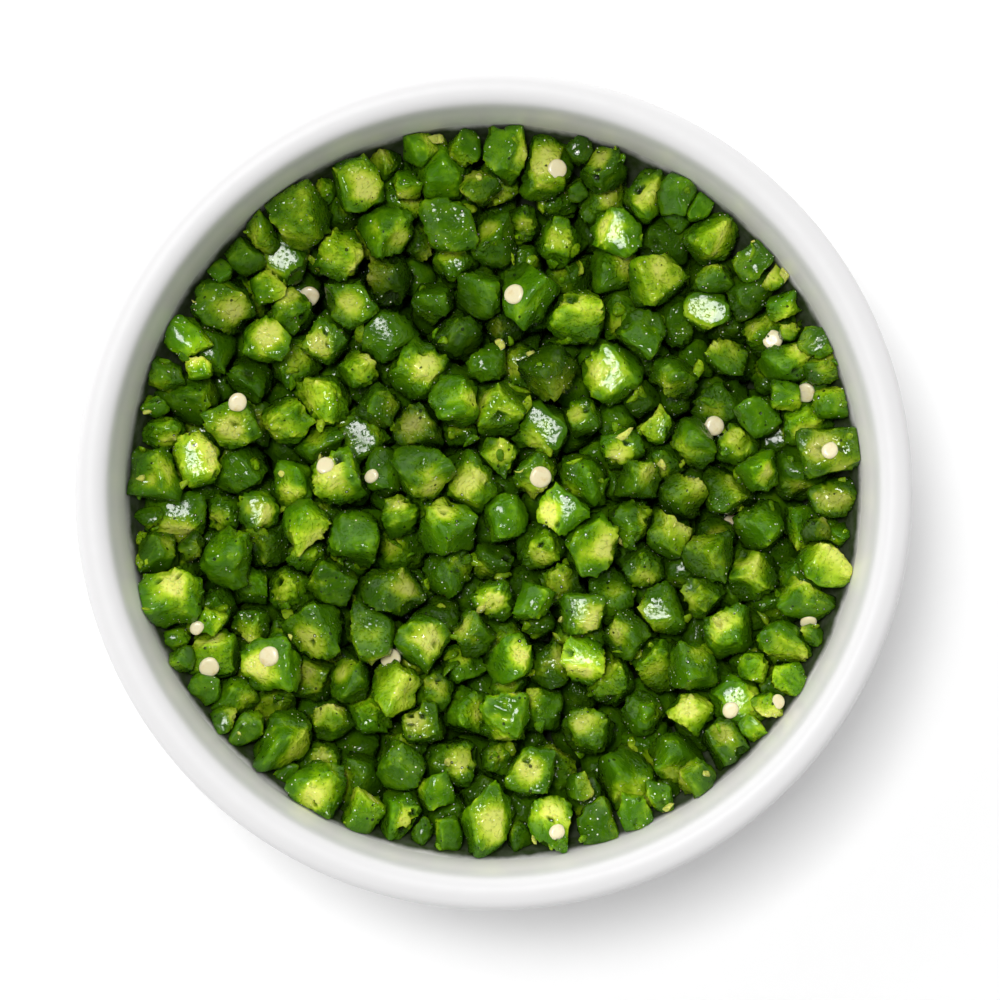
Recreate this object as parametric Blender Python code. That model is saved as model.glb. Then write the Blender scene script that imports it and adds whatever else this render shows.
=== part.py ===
"""A small white porcelain bowl filled with finely diced serrano pepper.

Two separate things: the bowl, turned in one piece with a rolled rim and a foot
ring, and the dice heaped in it. The dice lie against each other and are joined
here in one solid: a bed that fills the bowl, the dice that stand out of it, and
the loose seeds that lie on top.

Frame: metres, +Z up, origin in the middle of the foot, on the surface it stands on.
"""

import math

import bmesh
import bpy
import numpy as np
from mathutils import Vector
from mathutils.bvhtree import BVHTree

# Driving dimensions
RIM_DIAMETER = 0.108
BOWL_HEIGHT = 0.044
DIE_SIZE = 0.0066
SEED_DIAMETER = 0.0029
FILL_DEPTH = 0.0115  # from the top of the rim down to the tops of the dice

# Bowl, worked out from them
RIM_RADIUS = RIM_DIAMETER / 2
LIP_RADIUS = 0.0020  # of the rolled rim's section
WALL = 0.0036  # at the lip; it thickens towards the floor
FLOOR = 0.0050
FOOT_RADIUS = 0.225 * RIM_DIAMETER  # to the middle of the foot ring's width
FOOT_WIDTH = 0.0032
FOOT_DEPTH = 0.0030  # of the hollow inside the foot ring
FOOT_EASE = 0.0006
LIP_HEIGHT = BOWL_HEIGHT - LIP_RADIUS  # where the rolled rim meets the wall
INSIDE_RADIUS = RIM_RADIUS - 2 * LIP_RADIUS
INSIDE_DEPTH = LIP_HEIGHT - FOOT_DEPTH - FLOOR
INSIDE_ROUNDNESS = 2.15  # exponent of the wall's curve: 2 is an ellipse
OUTSIDE_RADIUS = INSIDE_RADIUS + WALL
OUTSIDE_DEPTH = LIP_HEIGHT - 0.0020  # down to where the outside would meet the axis
OUTSIDE_ROUNDNESS = 2.4
SEGMENTS = 64
WALL_STEPS = 12
LIP_STEPS = 8

# Heap
DRAW_NUMBER = 11  # starts the random draw, so that the heap is the same each time
GAP = 0.0003  # between the pepper and the porcelain
FILL_LEVEL = BOWL_HEIGHT - FILL_DEPTH
BED_LEVEL = FILL_LEVEL - 0.90 * DIE_SIZE  # flat top of the bed that the dice stand out of
EDGE_RISE = 0.0036  # how much higher the heap stands against the wall than in the middle
PACKING = 0.435  # radius that a die takes up in the heap, as a share of its size
SIZE_SPREAD = (0.76, 1.20)  # of a die, as a share of the mean size
TRIES = 300  # places tried for each die
MISSES = 25  # dice that find no place before the heap is full
LEAST_SHOWING = 0.0012  # of a die above the bed, for it to be modelled
DIE_SHIFT = 0.2  # of what a die overshoots the wall by, it is moved in; the rest is pressed in

# Dice, in die sizes
CUT_LEAN = 0.13  # spread of a cut's lean off square
CUT_DISTANCE = (0.40, 0.50)  # from the die's middle to a cut

# Loose seeds on the heap: flat round discs, and where they lie, as x and y
SEED_THICKNESS = 0.0009
SEED_SIDES = 8
SEED_SPOTS = [
    (0.0061, 0.0026), (-0.0336, 0.0123), (-0.0245, 0.0267), (-0.0294, -0.0210),
    (0.0412, 0.0137), (-0.0374, -0.0224), (-0.0390, -0.0173), (-0.0135, -0.0215),
    (0.0083, 0.0430), (0.0368, 0.0207), (0.0292, 0.0094), (0.0316, -0.0034),
    (0.0440, 0.0060), (0.0372, -0.0270), (0.0312, -0.0281), (0.0083, -0.0440),
    (0.0415, -0.0165), (-0.0222, 0.0040), (-0.0161, 0.0027), (0.0028, 0.0266),
]


def inside_radius_at(height, inset=0.0):
    """Radius of the bowl's inside at a height: a superellipse, shrunk by the inset."""
    drop = np.clip((LIP_HEIGHT - height) / (INSIDE_DEPTH - inset), 0.0, 1.0)
    return (INSIDE_RADIUS - inset) * (1 - drop**INSIDE_ROUNDNESS) ** (1 / INSIDE_ROUNDNESS)


def inside_height_at(radius, inset=0.0):
    """Height of the bowl's inside at a radius, with the same inset."""
    out = np.clip(radius / (INSIDE_RADIUS - inset), 0.0, 1.0)
    rise = (1 - out**INSIDE_ROUNDNESS) ** (1 / INSIDE_ROUNDNESS)
    return LIP_HEIGHT - (INSIDE_DEPTH - inset) * rise


def wall_curve(radius, depth, roundness):
    """Points up a superellipse wall, from the middle of its floor to its lip."""
    angles = [math.pi / 2 * i / WALL_STEPS for i in range(WALL_STEPS)]
    rise = [
        (radius * math.sin(a) ** (2 / roundness), LIP_HEIGHT - depth * math.cos(a) ** (2 / roundness))
        for a in angles
    ]
    return rise + [(radius, LIP_HEIGHT)]


def bowl_profile():
    """Half section of the bowl: inside from the middle out, over the rim, down to the foot."""
    inside = wall_curve(INSIDE_RADIUS, INSIDE_DEPTH, INSIDE_ROUNDNESS)[:-1]
    middle = RIM_RADIUS - LIP_RADIUS
    turns = [math.pi * i / LIP_STEPS for i in range(LIP_STEPS + 1)]
    lip = [
        (middle - LIP_RADIUS * math.cos(a), LIP_HEIGHT + LIP_RADIUS * math.sin(a))
        for a in turns
    ]
    foot_edge = FOOT_RADIUS + FOOT_WIDTH / 2
    foot_inner = FOOT_RADIUS - FOOT_WIDTH / 2
    wall = wall_curve(OUTSIDE_RADIUS, OUTSIDE_DEPTH, OUTSIDE_ROUNDNESS)
    outside = [(r, z) for r, z in reversed(wall) if r > foot_edge + FOOT_WIDTH / 2]
    foot = [
        (foot_edge + FOOT_EASE / 2, outside[-1][1] - FOOT_EASE),
        (foot_edge, outside[-1][1] - 3 * FOOT_EASE),
        (foot_edge, FOOT_EASE),
        (foot_edge - FOOT_EASE, 0.0),
        (foot_inner + FOOT_EASE, 0.0),
        (foot_inner, FOOT_EASE),
        (foot_inner - FOOT_EASE, FOOT_DEPTH),
        (0.0, FOOT_DEPTH),
    ]
    return inside + lip + outside[1:] + foot


def turned(profile):
    """A bmesh of the profile spun round the Z axis, closed where it meets the axis."""
    bm = bmesh.new()
    verts = [bm.verts.new((r, 0.0, z)) for r, z in profile]
    edges = [bm.edges.new(pair) for pair in zip(verts, verts[1:])]
    bmesh.ops.spin(
        bm,
        geom=verts + edges,
        axis=(0, 0, 1),
        cent=(0, 0, 0),
        steps=SEGMENTS,
        angle=2 * math.pi,
    )
    bmesh.ops.remove_doubles(bm, verts=bm.verts, dist=1e-5)
    bmesh.ops.recalc_face_normals(bm, faces=bm.faces)
    return bm


def material(name, colour, roughness):
    """A Principled BSDF in one colour."""
    made = bpy.data.materials.new(name)
    made.use_nodes = True
    shader = made.node_tree.nodes["Principled BSDF"]
    shader.inputs["Base Color"].default_value = (*colour, 1.0)
    shader.inputs["Roughness"].default_value = roughness
    shader.inputs["Metallic"].default_value = 0.0
    return made


def add_object(name, bm, finish=None):
    """A scene object from a bmesh, which is freed."""
    mesh = bpy.data.meshes.new(name)
    bm.to_mesh(mesh)
    bm.free()
    obj = bpy.data.objects.new(name, mesh)
    bpy.context.scene.collection.objects.link(obj)
    if finish:
        mesh.materials.append(finish)
    return obj


def drop_dice(draw):
    """Middles and sizes of the dice as they fall in, each taken as a ball.

    Of the places tried at random, a die takes the lowest one, where it rests on
    the bowl or on the dice that are there. Heights are read from a dish that
    rises towards the wall. The heap is full when die after die finds only places
    that would stand over the fill level.
    """
    middles = np.zeros((0, 3))
    radii = np.zeros(0)
    missed = 0
    while missed < MISSES:
        radius = PACKING * DIE_SIZE * draw.uniform(*SIZE_SPREAD)
        reach = (INSIDE_RADIUS - radius) * np.sqrt(draw.uniform(0, 1, TRIES))
        turn = draw.uniform(0, 2 * math.pi, TRIES)
        spots = np.stack([reach * np.cos(turn), reach * np.sin(turn)], 1)
        height = inside_height_at(reach, radius)
        if len(middles):
            apart = ((spots[:, None] - middles[None, :, :2]) ** 2).sum(2)
            lift = (radius + radii) ** 2 - apart
            over = np.where(lift > 0, middles[:, 2] + np.sqrt(np.maximum(lift, 0)), 0)
            height = np.maximum(height, over.max(1))
        stand = height - EDGE_RISE * (reach / INSIDE_RADIUS) ** 6
        lowest = int(np.argmin(stand))
        if stand[lowest] + DIE_SIZE / 2 > FILL_LEVEL:
            missed += 1
            continue
        middles = np.vstack([middles, [*spots[lowest], height[lowest]]])
        radii = np.append(radii, radius)
    return middles, radii / PACKING


def random_turns(draw, count):
    """Rotation matrices drawn evenly over all turns, from unit quaternions."""
    q = draw.normal(size=(count, 4))
    w, x, y, z = (q / np.linalg.norm(q, axis=1, keepdims=True)).T
    rows = [
        [1 - 2 * (y * y + z * z), 2 * (x * y - z * w), 2 * (x * z + y * w)],
        [2 * (x * y + z * w), 1 - 2 * (x * x + z * z), 2 * (y * z - x * w)],
        [2 * (x * z - y * w), 2 * (y * z + x * w), 1 - 2 * (x * x + y * y)],
    ]
    return np.moveaxis(np.array(rows), 2, 0)


def knife_cuts(draw, count):
    """The six leaning cuts that bound each die, as unit normals and distances in die sizes."""
    square = np.concatenate([np.eye(3), -np.eye(3)])
    normals = square + draw.normal(0, CUT_LEAN, (count, 6, 3))
    normals /= np.linalg.norm(normals, axis=2, keepdims=True)
    return normals, draw.uniform(*CUT_DISTANCE, (count, 6))


def die_corners(normals, distances):
    """The eight corners of each die, each where three of its cuts meet, and its six faces."""
    corners = [(x, y, z) for x in (0, 3) for y in (1, 4) for z in (2, 5)]
    points = [np.linalg.solve(normals[:, c], distances[:, c, None])[..., 0] for c in corners]
    faces = [(0, 1, 3, 2), (4, 6, 7, 5), (0, 4, 5, 1), (2, 3, 7, 6), (0, 2, 6, 4), (1, 5, 7, 3)]
    return np.stack(points, 1), faces


def inside_bowl(points, shift):
    """Pieces kept off the bowl's wall, each an array of points in the last two axes.

    A piece that reaches into the wall is moved towards the axis by the given share
    of its overshoot, and the points that are still in the wall are pressed flat.
    """
    flat = math.cos(math.pi / SEGMENTS)
    for whole_piece in (True, False):
        limit = inside_radius_at(points[..., 2] - GAP, GAP) * flat - GAP
        out = np.linalg.norm(points[..., :2], axis=-1)
        over = np.maximum(out - limit, 0)
        if whole_piece:
            over = shift * over.max(-1, keepdims=True)
        scale = 1 - over / np.maximum(out, 1e-9)
        points = np.concatenate([points[..., :2] * scale[..., None], points[..., 2:]], -1)
    return points


def pepper_bed():
    """The bed: the bowl's inside, less the gap, up to the level that the dice stand out of."""
    curve = wall_curve(INSIDE_RADIUS - GAP, INSIDE_DEPTH - GAP, INSIDE_ROUNDNESS)
    wall = [p for p in curve if p[1] < BED_LEVEL - GAP]
    edge = float(inside_radius_at(BED_LEVEL, GAP))
    return turned(wall + [(edge, BED_LEVEL), (0.0, BED_LEVEL)])


def joined(base, repeats):
    """Joins every object of the list to the base by one union, and removes the list."""
    group = bpy.data.collections.new("repeats")
    bpy.context.scene.collection.children.link(group)
    for obj in repeats:
        bpy.context.scene.collection.objects.unlink(obj)
        group.objects.link(obj)
    union = base.modifiers.new("union", "BOOLEAN")
    union.operation = "UNION"
    union.operand_type = "COLLECTION"
    union.collection = group
    union.solver = "MANIFOLD"
    graph = bpy.context.evaluated_depsgraph_get()
    whole = bpy.data.meshes.new_from_object(base.evaluated_get(graph))
    base.modifiers.clear()
    base.data = whole
    for obj in list(group.objects):
        bpy.data.objects.remove(obj)
    bpy.data.collections.remove(group)


def keep_largest_body(obj):
    """Drops every piece of the mesh but the largest: sealed hollows and loose scraps."""
    bm = bmesh.new()
    bm.from_mesh(obj.data)
    unseen = set(bm.verts)
    bodies = []
    while unseen:
        body = set()
        edge = [unseen.pop()]
        while edge:
            vert = edge.pop()
            body.add(vert)
            near = {e.other_vert(vert) for e in vert.link_edges} & unseen
            unseen -= near
            edge.extend(near)
        bodies.append(body)
    bodies.sort(key=len)
    rest = [v for body in bodies[:-1] for v in body]
    bmesh.ops.delete(bm, geom=rest, context="VERTS")
    bm.to_mesh(obj.data)
    bm.free()


def solid(name, points, faces):
    """A closed solid with the given corners and faces, as triangles that face outwards."""
    bm = bmesh.new()
    verts = [bm.verts.new(p) for p in points]
    for face in faces:
        bm.faces.new([verts[k] for k in face])
    bmesh.ops.recalc_face_normals(bm, faces=bm.faces)
    bmesh.ops.triangulate(bm, faces=bm.faces)
    return add_object(name, bm)


def heap_surface(points, faces):
    """A tree of the dice's faces and the bed's top, to find what lies under a spot."""
    count, corners = points.shape[:2]
    verts = [Vector(p) for p in points.reshape(-1, 3)]
    polygons = [[corners * i + k for k in face] for i in range(count) for face in faces]
    first = len(verts)
    verts += [Vector((x, y, BED_LEVEL)) for x, y in ((-1, -1), (1, -1), (1, 1), (-1, 1))]
    polygons.append(list(range(first, first + 4)))
    return BVHTree.FromPolygons(verts, polygons)


def seed_points(surface, spot):
    """The two rims of a seed that lies half sunk in whatever is under the spot."""
    down = Vector((0, 0, -1))
    place, normal, _, _ = surface.ray_cast(Vector((*spot, BOWL_HEIGHT)), down)
    if normal.z < 0:
        normal = -normal
    axis = (normal - down).normalized()
    across = axis.orthogonal().normalized()
    along = axis.cross(across)
    angles = [2 * math.pi * i / SEED_SIDES for i in range(SEED_SIDES)]
    rim = [across * math.cos(a) + along * math.sin(a) for a in angles]
    half = axis * SEED_THICKNESS / 2
    return [place + r * SEED_DIAMETER / 2 + side for side in (-half, half) for r in rim]


def seed_faces():
    """The faces of a seed: its two flats and the strip between their rims."""
    lower = list(range(SEED_SIDES))
    upper = [SEED_SIDES + k for k in lower]
    around = zip(lower, lower[1:] + lower[:1])
    return [lower, upper] + [(a, b, SEED_SIDES + b, SEED_SIDES + a) for a, b in around]


def diced_pepper(finish):
    """The heap of dice, with its bed and the seeds on it, in one solid."""
    draw = np.random.default_rng(DRAW_NUMBER)
    middles, sizes = drop_dice(draw)
    turns = random_turns(draw, len(middles))
    local, die_faces = die_corners(*knife_cuts(draw, len(middles)))
    dice = np.einsum("nij,nvj->nvi", turns, local) * sizes[:, None, None]
    dice = inside_bowl(dice + middles[:, None], DIE_SHIFT)
    dice = dice[dice[..., 2].max(1) > BED_LEVEL + LEAST_SHOWING]
    surface = heap_surface(dice, die_faces)
    seeds = np.array([seed_points(surface, spot) for spot in SEED_SPOTS])
    seeds = inside_bowl(seeds, 1.0)
    repeats = [solid(f"die_{i}", die, die_faces) for i, die in enumerate(dice)]
    repeats += [solid(f"seed_{i}", seed, seed_faces()) for i, seed in enumerate(seeds)]
    heap = add_object("diced_pepper", pepper_bed(), finish)
    joined(heap, repeats)
    keep_largest_body(heap)


def main():
    for obj in list(bpy.data.objects):
        bpy.data.objects.remove(obj)
    porcelain = material("white_porcelain", (0.86, 0.86, 0.85), 0.18)
    pepper = material("diced_serrano", (0.14, 0.27, 0.03), 0.30)
    add_object("bowl", turned(bowl_profile()), porcelain)
    diced_pepper(pepper)


main()
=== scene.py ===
"""The looks of a white porcelain bowl filled with finely diced serrano pepper.

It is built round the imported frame: metres, +Z up, the bowl standing on z = 0.
"""

import math

import bpy
import numpy as np
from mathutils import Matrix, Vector
from mathutils.bvhtree import BVHTree


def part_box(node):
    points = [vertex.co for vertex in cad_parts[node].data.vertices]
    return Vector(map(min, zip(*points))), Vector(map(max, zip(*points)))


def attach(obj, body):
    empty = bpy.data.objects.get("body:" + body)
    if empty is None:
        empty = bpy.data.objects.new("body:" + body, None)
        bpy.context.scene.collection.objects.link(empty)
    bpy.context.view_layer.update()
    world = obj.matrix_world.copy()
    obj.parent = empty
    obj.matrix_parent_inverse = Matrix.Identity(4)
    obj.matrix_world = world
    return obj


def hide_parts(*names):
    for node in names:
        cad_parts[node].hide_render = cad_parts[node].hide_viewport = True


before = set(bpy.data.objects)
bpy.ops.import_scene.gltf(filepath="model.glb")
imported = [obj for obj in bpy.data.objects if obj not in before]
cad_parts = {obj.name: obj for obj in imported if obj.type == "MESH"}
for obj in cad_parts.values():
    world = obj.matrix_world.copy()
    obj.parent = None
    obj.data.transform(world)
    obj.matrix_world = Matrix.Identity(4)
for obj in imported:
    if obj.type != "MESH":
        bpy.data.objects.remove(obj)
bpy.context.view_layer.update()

# The bowl is white porcelain, turned in one piece, with a rolled rim. It is glazed all
# over but for the end of the foot ring that it stood on in the kiln. Its inner wall is
# painted whiter below the lip than the outside, as painted light, and dark green up to the
# edge of the pepper, as juice stain and painted shade.
bowl_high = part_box("bowl")[1]
RIM_RADIUS = bowl_high.x
BOWL_HEIGHT = bowl_high.z
LIP_RADIUS = 0.0020
WALL = 0.0036
FLOOR = 0.0050
FOOT_SHARE = 0.225
FOOT_RADIUS = FOOT_SHARE * 2 * RIM_RADIUS
FOOT_WIDTH = 0.0032
FOOT_DEPTH = 0.0030
FOOT_EASE = 0.0006
LIP_HEIGHT = BOWL_HEIGHT - LIP_RADIUS
INSIDE_RADIUS = RIM_RADIUS - 2 * LIP_RADIUS
INSIDE_DEPTH = LIP_HEIGHT - FOOT_DEPTH - FLOOR
INSIDE_ROUNDNESS = 2.15
OUTSIDE_RADIUS = INSIDE_RADIUS + WALL
BELLY_HEIGHT = 0.0020
OUTSIDE_DEPTH = LIP_HEIGHT - BELLY_HEIGHT
OUTSIDE_ROUNDNESS = 2.4
FLARE_FROM = BOWL_HEIGHT - 0.0120
FLARE_TO = (RIM_RADIUS - 0.0045, LIP_HEIGHT + 0.0003)
FLARE_POWER = 1.9
FLARE_STEPS = 12
FLARE_CLEARANCE = 0.0003
LIP_LEAN = 0.32
LIP_ROUNDNESS = 4.2
LIP_CROWN = 0.16
FILL_LEVEL = BOWL_HEIGHT - 0.0115
WALL_STEPS = 40
LIP_STEPS = 20
BOWL_SEGMENTS = 256
GLAZE_WHITE = (0.790, 0.785, 0.788)
# Colour of the inner wall below the lip, whiter than the outside: painted light.
GLAZE_INSIDE_PAINTED_LIGHT = (0.955, 0.915, 0.930)
BISQUE = (0.74, 0.71, 0.66)
# Height, colour and edge of the dark green on the inner wall under the pepper: juice stain and
# painted shade.
JUICE_AND_SHADE_LEVEL = FILL_LEVEL - 0.0009
JUICE_AND_SHADE_TINT = (0.030, 0.052, 0.010)
STAIN_AND_SHADE_WAVES = 260.0
STAIN_AND_SHADE_UNEVENNESS = 0.002
STAIN_AND_SHADE_FADE = 0.0009
STREAK_WAVES = 620.0
STREAK_BAND = (0.30, 0.70)
STREAK_SHARE = 0.05
INSIDE_LIGHT_BAND = (LIP_HEIGHT + 0.0010, LIP_HEIGHT - 0.0030)
BARE_FOOT = (0.0007, 0.0003)
GLAZE_ROUGHNESS = 0.28
BISQUE_ROUGHNESS = 0.72
PEEL_WAVES = 320.0
PEEL_STRENGTH = 0.05
PEEL_DEPTH = 0.0008


def wall_curve(radius, depth, roundness, steps):
    """Points up a wall whose section is a superellipse, from its middle to its lip.

    Radius R sin(a)^(2/n) and drop D cos(a)^(2/n) under the lip, for a up to 90 degrees.
    """
    a = np.linspace(0, math.pi / 2, steps + 1)
    out = radius * np.sin(a) ** (2 / roundness)
    down = depth * np.maximum(np.cos(a), 0) ** (2 / roundness)
    return np.stack([out, LIP_HEIGHT - down], 1)


def flared(share):
    """Radius of the top of the inner wall, which leans out more and more: start + share^power."""
    drop = (LIP_HEIGHT - FLARE_FROM) / INSIDE_DEPTH
    start = INSIDE_RADIUS * (1 - drop**INSIDE_ROUNDNESS) ** (1 / INSIDE_ROUNDNESS)
    return start + (FLARE_TO[0] - start) * share**FLARE_POWER


def eased(points, reach, steps=5):
    """The same outline with each inner corner P turned into a curve between its sides.

    The curve is (1-t)^2 A + 2t(1-t) P + t^2 B, with A and B at the reach from P.
    """
    before, corner, after = points[:-2], points[1:-1], points[2:]
    ends = []
    for other in (before, after):
        side = other - corner
        length = np.linalg.norm(side, axis=1, keepdims=True)
        ends.append(corner + side * np.minimum(reach / length, 0.5))
    t = np.linspace(0, 1, steps)[None, :, None]
    curve = (1 - t) ** 2 * ends[0][:, None] + 2 * t * (1 - t) * corner[:, None]
    curve = curve + t**2 * ends[1][:, None]
    return np.concatenate([points[:1], curve.reshape(-1, 2), points[-1:]])


def bowl_outline():
    """Half section of the bowl: the inside, over the rolled rim, down the outside, the foot.

    Each half of the lip is a quarter of a superellipse, with a share of a round crown in
    its rise, and the inner half leans out.
    """
    inside = wall_curve(INSIDE_RADIUS, INSIDE_DEPTH, INSIDE_ROUNDNESS, WALL_STEPS)
    inside = inside[inside[:, 1] < FLARE_FROM - FLARE_CLEARANCE]
    share = np.linspace(0, 1, FLARE_STEPS + 1)
    height = FLARE_FROM + share * (FLARE_TO[1] - FLARE_FROM)
    inside = np.concatenate([inside, np.stack([flared(share), height], 1)])
    middle = RIM_RADIUS - LIP_RADIUS
    a = np.linspace(0, math.pi / 2, LIP_STEPS // 2 + 1)
    across = np.maximum(np.cos(a), 0) ** (2 / LIP_ROUNDNESS)
    rise = (1 - LIP_CROWN) * np.sin(a) ** (2 / LIP_ROUNDNESS) + LIP_CROWN * (1 - across**2)
    lean = LIP_LEAN * (BOWL_HEIGHT - FLARE_TO[1])
    inner = middle - across * (middle - FLARE_TO[0] - lean) - (1 - rise) * lean
    inner = np.stack([inner, FLARE_TO[1] + rise * (BOWL_HEIGHT - FLARE_TO[1])], 1)[1:]
    outer = np.stack([middle + across * LIP_RADIUS, LIP_HEIGHT + rise * LIP_RADIUS], 1)[-2::-1]
    lip = np.concatenate([inner, outer])
    outside = wall_curve(OUTSIDE_RADIUS, OUTSIDE_DEPTH, OUTSIDE_ROUNDNESS, WALL_STEPS)[::-1]
    foot_edge = FOOT_RADIUS + FOOT_WIDTH / 2
    foot_inner = FOOT_RADIUS - FOOT_WIDTH / 2
    outside = outside[outside[:, 0] > foot_edge + FOOT_WIDTH / 2]
    belly = outside[-1, 1]
    foot = [
        outside[-1],
        (foot_edge + FOOT_EASE / 2, belly - FOOT_EASE),
        (foot_edge, belly - 3 * FOOT_EASE),
        (foot_edge, 0.0),
        (foot_inner, 0.0),
        (foot_inner - FOOT_EASE, FOOT_DEPTH),
        (0.0, FOOT_DEPTH),
    ]
    return np.concatenate([inside, lip, outside[:-1], eased(np.array(foot), FOOT_EASE)])


def turned(outline, segments):
    """Points and faces of an outline turned round +Z, from the axis back to the axis."""
    turn = np.arange(segments) * 2 * math.pi / segments
    rows = outline[1:-1]
    x = rows[:, None, 0] * np.cos(turn)
    y = rows[:, None, 0] * np.sin(turn)
    z = np.broadcast_to(rows[:, None, 1], x.shape)
    points = np.stack([x, y, z], 2).reshape(-1, 3)
    poles = np.array([[0, 0, outline[0, 1]], [0, 0, outline[-1, 1]]])
    first = np.arange(len(rows) - 1)[:, None] * segments
    second = first + segments
    here = np.arange(segments)
    along = (here + 1) % segments
    quads = np.stack([first + here, first + along, second + along, second + here], 2)
    start, end = len(points), len(points) + 1
    last = (len(rows) - 1) * segments
    caps = [np.stack([along, here, np.full(segments, start)], 1)]
    caps.append(np.stack([last + here, last + along, np.full(segments, end)], 1))
    faces = quads.reshape(-1, 4).tolist() + np.concatenate(caps).tolist()
    return np.concatenate([points, poles]), faces


def inside_share(outline, segments):
    """1 for each point of the turned outline that comes before its top, 0 for the others."""
    top = int(np.argmax(outline[:, 1]))
    rows = np.arange(1, len(outline) - 1) <= top
    return np.append(np.repeat(rows, segments), [True, False]).astype(np.float32)


def mesh_piece(name, points, faces, finish):
    """A smooth-shaded object at the origin, with its one material."""
    mesh = bpy.data.meshes.new(name)
    mesh.from_pydata(points.reshape(-1, 3).tolist(), [], faces)
    mesh.shade_smooth()
    mesh.materials.append(finish)
    piece = bpy.data.objects.new(name, mesh)
    bpy.context.scene.collection.objects.link(piece)
    return piece


def node_group(name, numbers, output, kind):
    """A shader node group, its input node and its output node.

    It takes a place and the named numbers, and puts out one value of the given kind.
    """
    group = bpy.data.node_groups.new(name, "ShaderNodeTree")
    sockets = group.interface
    sockets.new_socket("Place", in_out="INPUT", socket_type="NodeSocketVector")
    for label, value in numbers.items():
        socket = sockets.new_socket(label, in_out="INPUT", socket_type="NodeSocketFloat")
        socket.default_value = value
    sockets.new_socket(output, in_out="OUTPUT", socket_type=kind)
    return group, group.nodes.new("NodeGroupInput"), group.nodes.new("NodeGroupOutput")


def node(tree, kind, links=None, **values):
    """A node with its properties set, its inputs linked and its other inputs given values.

    links maps an input's name or number to the output that feeds it, or to a value.
    """
    made = tree.nodes.new(kind)
    for name, value in values.items():
        setattr(made, name, value)
    for socket, source in (links or {}).items():
        if isinstance(source, bpy.types.NodeSocket):
            tree.links.new(source, made.inputs[socket])
        else:
            made.inputs[socket].default_value = source
    return made


def maths(tree, operation, a, b=0.0, c=0.0, clamp=False):
    """The output of one Math node."""
    links = {0: a, 1: b, 2: c}
    return node(tree, "ShaderNodeMath", links, operation=operation, use_clamp=clamp).outputs[0]


def scaled(tree, value, factor, offset=0.0):
    """The output value * factor + offset, each a number or an output."""
    return maths(tree, "MULTIPLY_ADD", value, factor, offset)


def blended(tree, share, a, b, mode="MIX"):
    """The output of a colour mix from a to b, whose inputs are 0, 6 and 7 of the Mix node."""
    mix = node(tree, "ShaderNodeMix", data_type="RGBA", blend_type=mode)
    for number, source in ((0, share), (6, a), (7, b)):
        if isinstance(source, bpy.types.NodeSocket):
            tree.links.new(source, mix.inputs[number])
        elif number == 0:
            mix.inputs[number].default_value = source
        else:
            mix.inputs[number].default_value = (*source, 1.0)
    return mix.outputs[2]


def band(tree, value, low, high):
    """A smooth step from 0 below low to 1 above high; the other way round if low is above high."""
    links = {"Value": value, "From Min": low, "From Max": high}
    step = node(tree, "ShaderNodeMapRange", links, interpolation_type="SMOOTHSTEP", clamp=True)
    return step.outputs["Result"]


def noise(tree, place, scale, detail=2.0, roughness=0.5):
    """The value of a noise texture at a place, at a scale in waves a metre."""
    links = {"Vector": place, "Scale": scale, "Detail": detail, "Roughness": roughness}
    return node(tree, "ShaderNodeTexNoise", links).outputs["Fac"]


def raised(tree, height, strength, distance):
    """The normal of a surface that is raised by the distance where the height is 1."""
    links = {"Height": height, "Strength": strength, "Distance": distance}
    return node(tree, "ShaderNodeBump", links).outputs["Normal"]


def shader_of(name, **sockets):
    """A new material, its node tree and its Principled BSDF with the constant sockets set."""
    finish = bpy.data.materials.new(name)
    finish.use_nodes = True
    shader = finish.node_tree.nodes["Principled BSDF"]
    for socket, value in sockets.items():
        shader.inputs[socket.replace("_", " ").title().replace("Ior", "IOR")].default_value = value
    return finish, finish.node_tree, shader


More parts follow.
